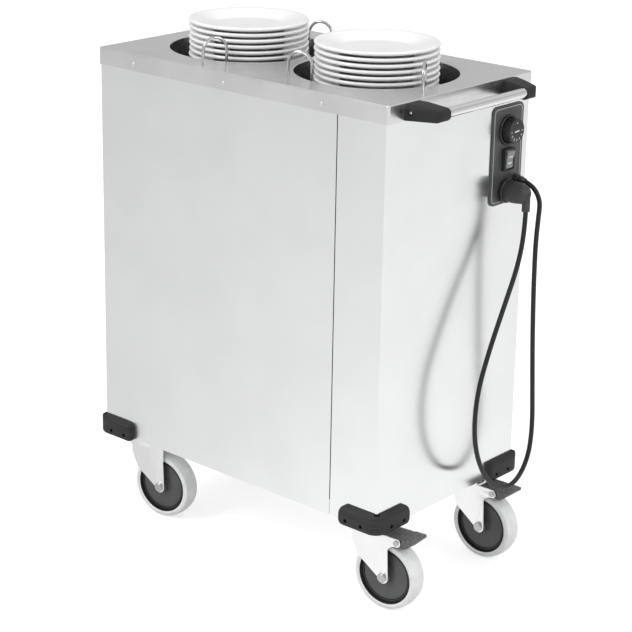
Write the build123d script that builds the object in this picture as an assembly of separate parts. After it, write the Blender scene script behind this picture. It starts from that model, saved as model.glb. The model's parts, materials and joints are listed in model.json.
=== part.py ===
from build123d import *
import math
import os

# A heated dispenser cart for two stacks of plates: a folded stainless cabinet on swivel casters, with a
# sprung platform in each well. Millimetres, +Z up. The shapes are worked out about the cabinet's centre,
# with +X towards the handle end, and moved at the end so that the origin lies on the floor, midway
# between the handle and the tail bumpers.

# ---- cabinet ----
cabinet_length = 670.0
cabinet_width = 390.0
top_height = 900.0
skirt_drop = 31.0
pan_gauge = 1.5
pan_corner = 4.0
pan_edge = 2.0
panel_gauge = 1.2
lap_gap = 0.2
overlap = 1.0
edge_break = 1.2
seam_from_end = 108.0
seam_gap = 2.0
seam_flange = 14.0
foot_flange = 6.0
tray_gauge = 2.0
tray_flange = 25.0
rivet_from_tail = 88.0
rivet_from_handle = 142.0
rivet_drop = 19.5
rivet_shank = 2.0
rivet_head = 3.4
rivet_head_height = 1.3
rivet_play = 0.05

# ---- wells and plate guides ----
well_gap = 13.8
well_from_end = 43.5
collar_depth = 12.0
well_gauge = 1.2
well_lift = 12.0
slot_width = 20.0
slot_margin = 12.0
guide_wire = 5.4
guide_from_hole = 11.2
guide_span = 44.2
guide_rise = 39.0
guide_depth = 200.0
guide_tail = 22.0
guide_swing = 35.0
guide_play = 0.05
bush_radius = 6.0
bush_length = 14.0
left_guides = (-78.0, 54.0, 168.0)
right_guides = (-128.0, -21.0, 107.0)

# ---- plates and sprung platforms ----
plate_from_hole = 34.3
plate_height = 22.0
plate_pitch = 10.4
plate_foot = 4.0
plate_foot_in = 56.0
plate_foot_out = 62.0
plate_floor = 68.0
rim_thickness = 6.2
plate_count = 8
stack_rise = 53.0
platform_inset = 4.0
platform_gauge = 2.0
platform_leg = 5.0
platform_leg_circle = 60.0
leg_length = 240.0
arm_width = 14.0
arm_gauge = 4.0
arm_tip = 8.0
spider_hub = 22.4
hook_from_hole = 17.7
hook_hole = 2.0
travel_up = 20.0
travel_clearance = 86.2
hanger_drop = 30.0
hanger_gauge = 3.0
hanger_width = 16.0
spring_radius = 8.0
spring_bore = 6.4
spring_wire = 1.5
spring_end = 12.0
spring_ball = 2.6
left_arms = (60.0, 180.0, 300.0)
right_arms = (0.0, 120.0, 240.0)

# ---- heating ----
heater_from_hole = 42.3
heater_wire = 4.25
heater_arc = 320.0
heater_lift = 16.0
clip_angles = (60.0, 160.0, 260.0)
clip_size = 12.0

# ---- corner bumpers ----
bumper_wall = 12.0
bumper_arm = 90.0
bumper_height = 38.6
bumper_lip = 4.4
bumper_lip_reach = 6.0
bumper_corner = 24.0
bumper_slope = 8.5
bumper_top_end = 20.0
bumper_low_end = 10.0
bumper_edge = 5.0
bumper_notch = 5.0
bumper_notch_depth = 7.0
bumper_screw_rise = 10.6
bumper_screw_places = (26.0, 60.0)
screw_recess = 3.6
screw_recess_depth = 7.0
screw_head = 3.4
screw_head_height = 2.2
screw_shank = 1.9

# ---- handle ----
handle_reach = 56.0
handle_bar = 17.0
bar_offset = 46.0
bar_drop = 18.0
bar_fit = 0.05
bracket_from_side = 90.5
bracket_splay = 6.0
bracket_front = 26.5
bracket_spread = 25.0
bracket_height = 26.2
bracket_top_drop = 4.0
bracket_slope = 5.0
bracket_flat = 12.0
bracket_chamfer = 6.0
bracket_corner = 12.0
bracket_brow = 9.0
bracket_chin = 10.0
bracket_edge = 1.5
bracket_round = 5.0
bracket_screw_out = 10.0
bracket_screw_drop = 13.0
bracket_recess = 4.0
bracket_recess_depth = 4.0
bar_seat = 20.0

# ---- controls on the handle end ----
panel_from_side = 65.0
panel_width = 88.0
panel_height = 174.0
panel_drop = 49.0
panel_corner = 12.0
panel_plate = 2.5
knob_drop = 93.0
knob_radius = 21.8
knob_stand = 19.0
knob_clearance = 1.0
knob_flutes = 12
flute_radius = 1.4
bezel_radius = 26.5
bezel_bore = 22.6
bezel_height = 4.0
spindle_radius = 3.0
spindle_play = 0.05
bushing_radius = 5.0
thermostat_size = 44.0
thermostat_depth = 26.0
switch_drop = 144.0
switch_width = 28.0
switch_height = 38.0
switch_stand = 8.0
switch_cut_width = 25.0
switch_cut_height = 35.4
switch_depth = 22.0
rocker_width = 20.4
rocker_play = 0.3
rocker_radius = 17.0
rocker_face = 9.0
rocker_rest_tilt = 8.0
rocker_valley = 7.0
rocker_horn = 11.4

# ---- mains cord ----
socket_aside = -0.5
socket_drop = 200.0
socket_radius = 21.5
socket_stand = 8.0
socket_recess = 6.0
socket_barrel = 17.0
socket_depth = 24.0
plug_radius = 19.0
plug_play = 0.3
plug_reach = 49.0
plug_straight = 21.0
plug_draft = 3.0
plug_crown = 13.0
plug_neck_radius = 7.0
plug_neck_out = 45.2
plug_neck_drop = 29.0
pin_radius = 2.4
pin_length = 19.0
pin_pitch = 19.0
gland_aside = 26.0
gland_drop = 183.0
gland_radius = 8.5
gland_nut = 9.0
gland_thread = 6.0
sleeve_bend = 42.0
sleeve_turn = 19.0
sleeve_root = 6.8
sleeve_tip = 5.4
cord_diameter = 8.5
cord_step = 13.0
cord_out = 57.2
bend_share = 0.45

# ---- casters ----
swivel_from_end = 60.5
swivel_from_side = 53.5
wheel_radius = 62.5
wheel_room = 13.1
wheel_trail = 45.0
tyre_half_width = 18.0
tyre_crown = 2.5
tyre_shoulder = 2.0
tyre_flank = 3.5
core_radius = 51.5
core_half_width = 16.5
core_face = 15.0
core_groove = 46.5
groove_width = 1.5
groove_depth = 1.0
hub_radius = 13.0
axle_radius = 6.0
axle_play = 0.05
axle_head = 8.5
axle_head_height = 4.0
side_gauge = 2.5
fork_gap = 21.0
hub_gap = 0.3
fork_head = 33.0
fork_boss = 11.0
fork_front = 19.0
fork_back = 8.0
fork_waist = 6.0
fork_waist_rise = 29.5
fork_shoulder_drop = 30.4
fork_flange = 6.0
head_gauge = 3.6
head_skirt = 12.5
swivel_gap = 0.3
plate_length = 100.0
plate_width = 85.0
caster_plate = 3.0
plate_boss = 22.0
plate_boss_height = 6.5
kingpin_radius = 6.0
kingpin_flange = 10.0
kingpin_flange_height = 3.0
bolt_pitch_x = 80.0
bolt_pitch_y = 60.0
bolt_radius = 4.0
bolt_play = 0.1
bolt_head = 6.5
bolt_head_height = 5.3
pivot_out = 26.0
pivot_drop = 19.2
arm_round = 8.0
arm_throat = 12.0
pedal_pin_radius = 3.0
pedal_pin_head = 5.0
pedal_pin_head_height = 2.2
pedal_play = 0.05
pedal_reach = 27.5
pedal_back = 27.0
pedal_gap = 6.0
pedal_half_width = 32.0
pedal_corner = 5.0
pedal_rise = 9.0
pedal_gauge = 5.0
pedal_lug = 8.0
pedal_ribs = 6
rib_height = 0.9
rib_width = 2.2
rib_inset = 4.0
shoe_half_width = 16.0
shoe_out = 4.0
shoe_length = 14.0
shoe_drop = 23.0
shoe_edge = 3.0
swivel_rest = {"near_handle": 6.3, "far_handle": 0.9, "near_tail": 8.0, "far_tail": 4.0}

# ---- worked out from the above ----
fork_top = 2 * wheel_radius + wheel_room + head_skirt + head_gauge
caster_height = fork_top + swivel_gap + plate_boss_height + caster_plate
hole_radius = (cabinet_length - 2 * well_from_end - well_gap) / 4
plate_radius = hole_radius - plate_from_hole
platform_radius = plate_radius - platform_inset
guide_circle = hole_radius + guide_from_hole
hook_circle = hole_radius + hook_from_hole
arm_reach = hook_circle + arm_tip
heater_radius = hole_radius - heater_from_hole
well_x = hole_radius + well_gap / 2
pan_under = top_height - pan_gauge
body_x = cabinet_length / 2 - pan_gauge - lap_gap
body_y = cabinet_width / 2 - pan_gauge - lap_gap
inner_x = body_x - panel_gauge
inner_y = body_y - panel_gauge
body_foot = caster_height - panel_gauge
tray_top = caster_height + tray_gauge
seam_x = cabinet_length / 2 - seam_from_end
well_bore = hole_radius + pan_gauge + lap_gap
well_outer = well_bore + well_gauge
stack_top = top_height + stack_rise
platform_top = stack_top - plate_height - (plate_count - 1) * plate_pitch
arm_z = platform_top - platform_gauge - leg_length
travel_down = arm_z - arm_gauge - tray_top - travel_clearance
hanger_z = top_height - hanger_drop
rivet_z = top_height - rivet_drop
panel_y = cabinet_width / 2 - panel_from_side
panel_z = top_height - panel_drop - panel_height / 2
plate_face = body_x + panel_plate
knob_z = top_height - knob_drop
switch_z = top_height - switch_drop
socket_y = panel_y + socket_aside
socket_z = top_height - socket_drop
gland_y = panel_y + gland_aside
gland_z = top_height - gland_drop
plug_neck_x = plate_face + plug_neck_out
plug_neck_z = socket_z - plug_neck_drop
bracket_inner = cabinet_width / 2 - bracket_from_side
bracket_front_end = bracket_inner + bracket_front
bracket_wall_end = bracket_front_end + bracket_spread
bar_x = cabinet_length / 2 + bar_offset
bar_z = top_height - bar_drop
handle_front = cabinet_length / 2 + handle_reach
cabinet_x = (body_x + bumper_wall - handle_front) / 2
arm_pivot_x = wheel_trail + pivot_out
arm_pivot_z = fork_top - pivot_drop
wells = {"left": -well_x, "right": well_x}
guide_angles = {"left": left_guides, "right": right_guides}
arm_angles = {"left": left_arms, "right": right_arms}
swivel_x = cabinet_length / 2 - swivel_from_end
swivel_y = cabinet_width / 2 - swivel_from_side
casters = {
    "near_handle": (swivel_x, -swivel_y, True),
    "far_handle": (swivel_x, swivel_y, True),
    "near_tail": (-swivel_x, -swivel_y, False),
    "far_tail": (-swivel_x, swivel_y, False),
}
guide_corner = guide_span / 2
guide_foot_z = top_height - guide_depth
sleeve_x = plate_face + gland_nut + sleeve_bend * math.sin(math.radians(sleeve_turn))
sleeve_z = gland_z - sleeve_bend * (1 - math.cos(math.radians(sleeve_turn)))
sleeve_run = math.cos(math.radians(sleeve_turn))
sleeve_fall = math.sin(math.radians(sleeve_turn))

# The cord hangs from the control plate. These points on its way down from the gland, round the loop and
# up to the plug's neck are given as how far out from the plate's face, how far aside of its middle line
# and how far below the cart's top.
cord_points = [
    (45.6, 25.6, 197.2),
    (53.1, 25, 207.8),
    (cord_out, 24, 220),
    (cord_out, 21, 245),
    (cord_out, 17, 288),
    (cord_out, 18, 365),
    (cord_out, 23, 460),
    (cord_out, 31, 555),
    (cord_out, 38, 638),
    (cord_out, 28, 697),
    (cord_out, -12, 733),
    (cord_out, -68, 720),
    (cord_out, -114, 672),
    (56.2, -138, 604),
    (55.2, -133, 528),
    (54.2, -104, 460),
    (53.2, -64, 388),
    (50.2, -21, 318),
    (plug_neck_out, socket_aside, 262),
    (plug_neck_out, socket_aside, socket_drop + plug_neck_drop),
]
cord_route = [
    (sleeve_x + step * sleeve_run, gland_y, sleeve_z - step * sleeve_fall)
    for step in (lap_gap, cord_step)
] + [
    (plate_face + out, panel_y + aside, top_height - drop)
    for out, aside, drop in cord_points
]


def box(x0, x1, y0, y1, z0, z1):
    """An upright box between two corners."""
    return Pos((x0 + x1) / 2, (y0 + y1) / 2, (z0 + z1) / 2) * Box(x1 - x0, y1 - y0, z1 - z0)


def post(radius, x, y, z0, z1):
    """An upright cylinder."""
    return Pos(x, y, (z0 + z1) / 2) * Cylinder(radius, z1 - z0)


def rod_x(radius, x0, x1, y, z):
    """A cylinder along X."""
    return Pos((x0 + x1) / 2, y, z) * Rot(0, 90, 0) * Cylinder(radius, x1 - x0)


def rod_y(radius, y0, y1, x, z):
    """A cylinder along Y."""
    return Pos(x, (y0 + y1) / 2, z) * Rot(90, 0, 0) * Cylinder(radius, y1 - y0)


def facing(x, y, z):
    """A place whose own Z points out of the handle end, and whose own X runs along +Y."""
    return Plane(origin=(x, y, z), x_dir=(0, 1, 0), z_dir=(1, 0, 0)).location


def around(radius, degrees):
    """A point at that radius and angle, seen from above."""
    return radius * math.cos(math.radians(degrees)), radius * math.sin(math.radians(degrees))


def group(shapes):
    """Several separate solids as one node."""
    return Compound([solid for shape in shapes for solid in shape.solids()])


def save(name, shape):
    """Moves a finished node to the cart's origin and writes it."""
    placed = Pos(cabinet_x, 0, 0) * shape
    export_step(placed, os.path.join("parts", name + ".step"))


# ---- cabinet ----

def rivet_places():
    """Where each skirt rivet goes, as (place, outward turn) with its own Z pointing out of the skirt."""
    first = rivet_from_tail - cabinet_length / 2
    last = cabinet_length / 2 - rivet_from_handle
    places = []
    for x in (first, (first + last) / 2, last):
        places.append(Plane(origin=(x, -cabinet_width / 2, rivet_z), z_dir=(0, -1, 0)).location)
        places.append(Plane(origin=(x, cabinet_width / 2, rivet_z), z_dir=(0, 1, 0)).location)
    for end in (-1, 1):
        places.append(Plane(origin=(end * cabinet_length / 2, 0, rivet_z), z_dir=(end, 0, 0)).location)
    return places


def rivet_length():
    """Through the skirt, the lap gap and the panel, with a formed tail."""
    return pan_gauge + lap_gap + panel_gauge + rivet_shank


def rivet_holes():
    hole = Cylinder(rivet_shank + rivet_play, 4 * rivet_length())
    return [place * hole for place in rivet_places()]


def rivets():
    shank = Pos(0, 0, -rivet_length() / 2) * Cylinder(rivet_shank, rivet_length())
    head = Pos(0, 0, rivet_head_height / 2) * Cylinder(rivet_head, rivet_head_height)
    head = fillet(head.edges().sort_by(Axis.Z)[-1], rivet_head_height * 0.7)
    return group([place * (shank + head) for place in rivet_places()])


def guide_pivots(side):
    """The upright axis of each plate guide beside a well."""
    pivots = []
    for angle in guide_angles[side]:
        dx, dy = around(guide_circle, angle)
        pivots.append((wells[side] + dx, dy, angle))
    return pivots


def top_pan():
    """The folded top with its skirt, two flanged holes and the holes of the plate guides."""
    half_x = cabinet_length / 2
    half_y = cabinet_width / 2
    pan = box(-half_x, half_x, -half_y, half_y, top_height - skirt_drop, top_height)
    pan = fillet(pan.edges().filter_by(Axis.Z), pan_corner)
    pan = fillet(pan.faces().sort_by(Axis.Z)[-1].edges(), pan_edge)
    room = box(pan_gauge - half_x, half_x - pan_gauge, pan_gauge - half_y, half_y - pan_gauge,
               top_height - 2 * skirt_drop, pan_under)
    pan -= fillet(room.edges().filter_by(Axis.Z), pan_corner - pan_gauge)
    for x in wells.values():
        pan += post(hole_radius + pan_gauge, x, 0, pan_under - collar_depth, pan_under)
        pan -= post(hole_radius, x, 0, top_height - skirt_drop, top_height + pan_gauge)
    rims = [e for e in pan.edges().filter_by(GeomType.CIRCLE)
            if abs(e.radius - hole_radius) < 0.01 and e.center().Z > top_height - 0.1]
    pan = fillet(rims, pan_gauge * 0.8)
    for side in wells:
        for x, y, _ in guide_pivots(side):
            pan -= post(guide_wire / 2 + guide_play, x, y, pan_under - overlap, top_height + overlap)
    return pan - rivet_holes()


def sheet_ring(x_from, x_to):
    """The cabinet's upright skin between two stations along its length, with its turned-in foot."""
    corner = pan_corner - pan_gauge
    outer = box(-body_x, body_x, -body_y, body_y, body_foot, pan_under)
    outer = fillet(outer.edges().filter_by(Axis.Z), pan_corner)
    inner = box(-inner_x, inner_x, -inner_y, inner_y, caster_height, pan_under)
    inner = fillet(inner.edges().filter_by(Axis.Z), corner)
    foot = box(foot_flange - inner_x, inner_x - foot_flange, foot_flange - inner_y, inner_y - foot_flange,
               body_foot, caster_height)
    return (outer - inner - foot) & box(x_from, x_to, -body_y, body_y, body_foot, pan_under)


def seam_returns(x0, x1):
    """The inward folds along an upright seam, on both long sides."""
    folds = []
    for side in (-1, 1):
        y0, y1 = sorted((side * (inner_y - seam_flange), side * (inner_y + panel_gauge / 2)))
        folds.append(box(x0, x1, y0, y1, tray_top + tray_flange + lap_gap, pan_under - collar_depth))
    return folds


def body_shell():
    """Both long sides and the tail end, folded from one sheet."""
    shell = sheet_ring(-body_x, seam_x)
    for fold in seam_returns(seam_x - panel_gauge, seam_x):
        shell += fold
    return shell - rivet_holes()


def panel_cutouts():
    """What passes through the control plate and the end cover behind it."""
    deep = 4 * (panel_plate + panel_gauge)
    knob = facing(body_x, panel_y, knob_z) * Cylinder(bushing_radius + lap_gap, deep)
    switch = Box(switch_cut_width + lap_gap, switch_cut_height + lap_gap, deep)
    switch = facing(body_x, panel_y, switch_z) * switch
    socket = facing(body_x, socket_y, socket_z) * Cylinder(socket_barrel + lap_gap, deep)
    gland = facing(body_x, gland_y, gland_z) * Cylinder(gland_thread + lap_gap, deep)
    return [knob, switch, socket, gland]


def end_cover():
    """The cover that wraps round the handle end and meets the body at the two upright seams."""
    cover = sheet_ring(seam_x + seam_gap, body_x)
    for fold in seam_returns(seam_x + seam_gap, seam_x + seam_gap + panel_gauge):
        cover += fold
    return cover - rivet_holes() - panel_cutouts()


def bolt_places():
    """The four bolts of every caster plate."""
    places = []
    for cx, cy, _ in casters.values():
        for ux in (-0.5, 0.5):
            for uy in (-0.5, 0.5):
                places.append((cx + ux * bolt_pitch_x, cy + uy * bolt_pitch_y))
    return places


def base_tray():
    """The floor of the cabinet, with its edges turned up inside the skin."""
    half_x = inner_x - lap_gap
    half_y = inner_y - lap_gap
    tray = box(-half_x, half_x, -half_y, half_y, caster_height, tray_top + tray_flange)
    tray = fillet(tray.edges().filter_by(Axis.Z), pan_corner)
    room = box(tray_gauge - half_x, half_x - tray_gauge, tray_gauge - half_y, half_y - tray_gauge,
               tray_top, tray_top + 2 * tray_flange)
    tray -= fillet(room.edges().filter_by(Axis.Z), pan_corner - tray_gauge)
    for x, y in bolt_places():
        tray -= post(bolt_radius + bolt_play, x, y, caster_height - overlap, tray_top + overlap)
    return tray


# ---- wells, guides, platforms and plates ----

def well(side):
    """The tube that hangs the stack, slotted for the platform's arms, with the springs' hangers on it."""
    tube = post(well_outer, 0, 0, tray_top + well_lift, pan_under)
    for angle in arm_angles[side]:
        tab = box(well_outer - well_gauge, arm_reach, -hanger_width / 2, hanger_width / 2,
                  hanger_z - hanger_gauge, hanger_z)
        tab -= post(hook_hole, hook_circle, 0, hanger_z - 2 * hanger_gauge, hanger_z + hanger_gauge)
        tube += Rot(0, 0, angle) * tab
    tube -= post(well_bore, 0, 0, tray_top - overlap, pan_under + overlap)
    for angle in arm_angles[side]:
        slot = box(platform_radius, arm_reach, -slot_width / 2, slot_width / 2,
                   arm_z - travel_down - slot_margin, arm_z + travel_up + slot_margin)
        tube -= Rot(0, 0, angle) * slot
    return Pos(wells[side], 0, 0) * tube


def guide_bushes():
    """The bushes under the top in which the plate guides turn."""
    bushes = []
    for side in wells:
        for x, y, _ in guide_pivots(side):
            low = pan_under - bush_length
            bush = post(bush_radius, x, y, low, pan_under)
            bushes.append(bush - post(guide_wire / 2 + guide_play, x, y, low - overlap, pan_under + overlap))
    return group(bushes)


def plate_guide(x, y, angle):
    """One bent wire hoop: its outer leg stands in a bush, and its inner leg hangs down the well."""
    rise = top_height + guide_rise - guide_corner
    tail = pan_under - guide_tail
    path = Polyline((0, 0, tail), (0, 0, rise))
    path += ThreePointArc((0, 0, rise), (guide_corner, 0, rise + guide_corner), (guide_span, 0, rise))
    path += Polyline((guide_span, 0, rise), (guide_span, 0, guide_foot_z))
    section = Plane(origin=(0, 0, tail), z_dir=(0, 0, 1)) * Circle(guide_wire / 2)
    wire = sweep(section, path=path)
    collar = post(bush_radius, 0, 0, pan_under - guide_tail, pan_under - bush_length - swivel_gap)
    return Pos(x, y, 0) * Rot(0, 0, angle + 180 - guide_swing) * (wire + collar)


def plate():
    """One plate, turned about its axis, with its foot on z = 0 and a rolled rim."""
    top = plate_height
    edge = plate_radius - rim_thickness / 2
    with BuildSketch(Plane.XZ) as section:
        with BuildLine():
            Polyline(
                (edge, top), (plate_floor, plate_pitch), (0, plate_pitch), (0, plate_foot),
                (plate_foot_in, plate_foot), (plate_foot_in, 0), (plate_foot_out, 0),
                (plate_foot_out + plate_foot, plate_foot), (edge, top - rim_thickness),
            )
            ThreePointArc((edge, top - rim_thickness), (plate_radius, top - rim_thickness / 2), (edge, top))
        make_face()
    return revolve(section.sketch, axis=Axis.Z)


def plate_stack(side):
    one = plate()
    return group([Pos(wells[side], 0, platform_top + k * plate_pitch) * one for k in range(plate_count)])


def platform(side):
    """The disc under the plates, on three legs from a three-armed spider that hangs on the springs."""
    lift = post(platform_radius, 0, 0, platform_top - platform_gauge, platform_top)
    for angle in arm_angles[side]:
        lx, ly = around(platform_leg_circle, angle)
        lift += post(platform_leg, lx, ly, arm_z - arm_gauge / 2, platform_top - platform_gauge / 2)
        arm = box(0, arm_reach, -arm_width / 2, arm_width / 2, arm_z - arm_gauge, arm_z)
        arm -= post(hook_hole, hook_circle, 0, arm_z - 2 * arm_gauge, arm_z + arm_gauge)
        lift += Rot(0, 0, angle) * arm
    lift += post(spider_hub, 0, 0, arm_z - arm_gauge, arm_z)
    return Pos(wells[side], 0, 0) * lift


def lift_springs(side):
    """The three tension springs of a platform, each as the outer shape of its close coils and two hooks."""
    top = hanger_z + spring_ball
    low = arm_z - arm_gauge - spring_ball
    coil = post(spring_radius, 0, 0, arm_z + spring_end, hanger_z - hanger_gauge - spring_end)
    coil -= post(spring_bore, 0, 0, arm_z + spring_end + spring_wire,
                 hanger_z - hanger_gauge - spring_end - spring_wire)
    hook = post(spring_wire, 0, 0, low, arm_z + spring_end + spring_wire / 2)
    hook += Pos(0, 0, low) * Sphere(spring_ball)
    hang = post(spring_wire, 0, 0, hanger_z - hanger_gauge - spring_end - spring_wire / 2, top)
    hang += Pos(0, 0, top) * Sphere(spring_ball)
    one = coil + hook + hang
    springs = []
    for angle in arm_angles[side]:
        dx, dy = around(hook_circle, angle)
        springs.append(Pos(wells[side] + dx, dy, 0) * one)
    return group(springs)


def heaters():
    """The tubular elements that lie round the bottom of each well."""
    section = Plane.XZ * Pos(heater_radius, tray_top + heater_lift) * Circle(heater_wire)
    element = revolve(section, axis=Axis.Z, revolution_arc=heater_arc)
    return group([Pos(x, 0, 0) * element for x in wells.values()])


def heater_clips():
    """The blocks on the tray that the heating elements lie on."""
    clips = []
    for x in wells.values():
        for angle in clip_angles:
            dx, dy = around(heater_radius, angle)
            clip = box(-clip_size / 2, clip_size / 2, -clip_size / 2, clip_size / 2,
                       tray_top, tray_top + heater_lift)
            trough = rod_y(heater_wire + lap_gap, -clip_size, clip_size, 0, tray_top + heater_lift)
            clips.append(Pos(x + dx, dy, 0) * Rot(0, 0, angle) * (clip - trough))
    return group(clips)


# ---- bumpers and handle ----

def bumper_low():
    return body_foot - bumper_lip


def bumper_corner_x():
    return body_x + bumper_wall


def bumper_arm_side():
    """The outline of one arm seen from outside, from its rounded end to the cabinet's corner."""
    side = make_face(Polyline((0, 0), (bumper_arm, 0), (bumper_arm, bumper_height), (0, bumper_height),
                              close=True))
    side = fillet(side.vertices().sort_by(lambda v: v.X + v.Y)[0], bumper_low_end)
    return fillet(side.vertices().sort_by(lambda v: v.X - v.Y)[0], bumper_top_end)


def bumper():
    """The moulded corner guard, drawn for the corner where X and Y are both positive."""
    cx, cy = bumper_corner_x(), body_y + bumper_wall
    z0, z1 = bumper_low(), bumper_low() + bumper_height
    along = Plane(origin=(cx - bumper_arm, body_y, z0), x_dir=(1, 0, 0), z_dir=(0, -1, 0))
    across = Plane(origin=(body_x, cy - bumper_arm, z0), x_dir=(0, 1, 0), z_dir=(1, 0, 0))
    guard = extrude(along * bumper_arm_side(), -bumper_wall)
    guard += extrude(across * bumper_arm_side(), bumper_wall)
    outermost = guard.edges().filter_by(Axis.Z).sort_by(lambda e: e.center().X + e.center().Y)[-1]
    guard = fillet(outermost, bumper_corner)
    fall = make_face(Polyline((0, bumper_height), (2 * bumper_wall, bumper_height - 2 * bumper_slope),
                              (2 * bumper_wall, 2 * bumper_height), (0, 2 * bumper_height), close=True))
    above_along = Plane(origin=(0, body_y, z0), x_dir=(0, 1, 0), z_dir=(1, 0, 0)) * fall
    above_across = Plane(origin=(body_x, 0, z0), x_dir=(1, 0, 0), z_dir=(0, -1, 0)) * fall
    guard -= extrude(above_along, 2 * cx) + extrude(above_across, -2 * cy)
    outer = [e for e in guard.edges() if min(v.X for v in e.vertices()) > cx - lap_gap
             or min(v.Y for v in e.vertices()) > cy - lap_gap]
    guard = fillet(outer, bumper_edge)
    inset = bumper_arm - bumper_low_end
    lip = box(cx - inset, body_x + overlap, body_y - bumper_lip_reach, body_y + overlap, z0, body_foot)
    lip += box(body_x - bumper_lip_reach, body_x + overlap, cy - inset, body_y + overlap, z0, body_foot)
    guard += lip
    guard -= post(bumper_notch, body_x, body_y, z1 - bumper_notch_depth, z1 + overlap)
    bores = ((screw_recess_depth, screw_recess), (2 * bumper_wall, screw_shank + rivet_play))
    for place in bumper_screw_places:
        for length, radius in bores:
            guard -= rod_y(radius, cy - length, cy + overlap, body_x - place, z0 + bumper_screw_rise)
            guard -= rod_x(radius, cx - length, cx + overlap, body_y - place, z0 + bumper_screw_rise)
    return guard


def at_corners(shape):
    """The shape at the first corner and its mirror images at the other three."""
    flipped = mirror(shape, about=Plane.YZ)
    return [shape, flipped, mirror(shape, about=Plane.XZ), mirror(flipped, about=Plane.XZ)]


def bumper_screws():
    """Pan-headed screws at the bottom of the bumpers' recesses."""
    z = bumper_low() + bumper_screw_rise
    seat = bumper_wall - screw_recess_depth
    screws = []
    for place in bumper_screw_places:
        head = rod_y(screw_head, body_y + seat, body_y + seat + screw_head_height, body_x - place, z)
        screws.append(head + rod_y(screw_shank, body_y, body_y + seat + overlap, body_x - place, z))
        head = rod_x(screw_head, body_x + seat, body_x + seat + screw_head_height, body_y - place, z)
        screws.append(head + rod_x(screw_shank, body_x, body_x + seat + overlap, body_y - place, z))
    return group([copy for screw in screws for copy in at_corners(screw)])


def bracket_flank():
    """The upright plane of a bracket's outer side: its X points outwards, its Y up from the block's foot."""
    run = Vector(handle_reach, bracket_front_end - bracket_wall_end, 0).normalized()
    foot = top_height - bracket_top_drop - bracket_height
    return Plane(origin=(cabinet_length / 2, bracket_wall_end, foot), x_dir=(-run.Y, run.X, 0), z_dir=run)


def handle_bracket():
    """The moulded end of the handle, drawn for +Y: a tapered block with a round nose, wide at the wall."""
    wall = cabinet_length / 2
    high = bracket_height
    low = top_height - bracket_top_drop - high
    far = 2 * handle_front
    plan = make_face(Polyline((wall, bracket_inner + bracket_splay), (handle_front, bracket_inner),
                              (handle_front, bracket_front_end), (wall, bracket_wall_end), close=True))
    plan = fillet(plan.vertices().sort_by(lambda v: v.X + v.Y)[-1], bracket_corner)
    block = Pos(0, 0, low) * extrude(plan, high)

    nose = make_face(Polyline((wall, 0), (handle_front, 0), (handle_front, high - bracket_slope),
                              (wall + bracket_flat, high), (wall, high), close=True))
    nose = fillet(nose.vertices().sort_by(lambda v: v.X - v.Y)[-1], bracket_chin)
    nose = fillet(nose.vertices().sort_by(lambda v: v.X + v.Y)[-1], bracket_brow)
    block &= Pos(0, far, low) * extrude(Plane.XZ * nose, far)

    flank = make_face(Polyline((-far, 0), (0, 0), (0, high - bracket_chamfer), (-bracket_chamfer, high),
                               (-far, high), close=True))
    flank = fillet(flank.vertices().sort_by(lambda v: v.X - v.Y)[-1], bracket_edge * 2)
    flank = fillet([v for v in flank.vertices() if v.X > -far and v.Y > bracket_chamfer], bracket_round)
    block &= extrude(bracket_flank() * flank, far, both=True)
    ends = [e for e in block.edges() if e.length > bracket_edge
            and max(v.Y for v in e.vertices()) < bracket_inner + bracket_splay + lap_gap
            and max(v.X for v in e.vertices()) > wall + lap_gap]
    block = fillet(ends, bracket_edge)
    block -= bracket_recess_place() * Cylinder(bracket_recess, 2 * bracket_recess_depth)
    bore = rod_y(handle_bar / 2 + bar_fit, bracket_inner - overlap, bracket_inner + bar_seat, bar_x, bar_z)
    return block - bore


def bracket_recess_place():
    """Where the bracket's fixing screw sits: on its outer side near the wall, with Z pointing outwards."""
    flank = bracket_flank()
    rise = bracket_height - bracket_screw_drop
    spot = flank.origin + flank.z_dir * bracket_screw_out + flank.y_dir * rise
    return Plane(origin=spot, z_dir=flank.x_dir).location


def handle_grip():
    """The straight steel bar between the brackets."""
    half = bracket_inner + bar_seat - lap_gap
    return rod_y(handle_bar / 2, -half, half, bar_x, bar_z)


# ---- controls ----

def control_plate():
    """The plate that carries the knob, the switch, the cord gland and the plug's parking socket."""
    plan = RectangleRounded(panel_width, panel_height, panel_corner)
    sheet = facing(body_x, panel_y, panel_z) * extrude(plan, panel_plate)
    return sheet - panel_cutouts()


def knob_bezel():
    ring = Cylinder(bezel_radius, bezel_height) - Cylinder(bezel_bore, 2 * bezel_height)
    ring = chamfer(ring.edges().group_by(Axis.Z)[-1], bezel_height / 4)
    return facing(plate_face + bezel_height / 2, panel_y, knob_z) * ring


def knob():
    """The temperature knob, fluted round its side."""
    height = knob_stand - knob_clearance
    body = Cylinder(knob_radius, height)
    body = chamfer(body.edges().sort_by(Axis.Z)[-1], edge_break)
    for k in range(knob_flutes):
        dx, dy = around(knob_radius + flute_radius / 2, (k + 0.5) * 360 / knob_flutes)
        body -= Pos(dx, dy, height / 4) * Cylinder(flute_radius, height)
    body -= Pos(0, 0, -height / 4) * Cylinder(spindle_radius, height / 2)
    return facing(plate_face + knob_clearance + height / 2, panel_y, knob_z) * body


def thermostat_spindle():
    start = inner_x - thermostat_depth / 2
    end = plate_face + knob_clearance + (knob_stand - knob_clearance) / 2
    return rod_x(spindle_radius, start, end, panel_y, knob_z)


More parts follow.
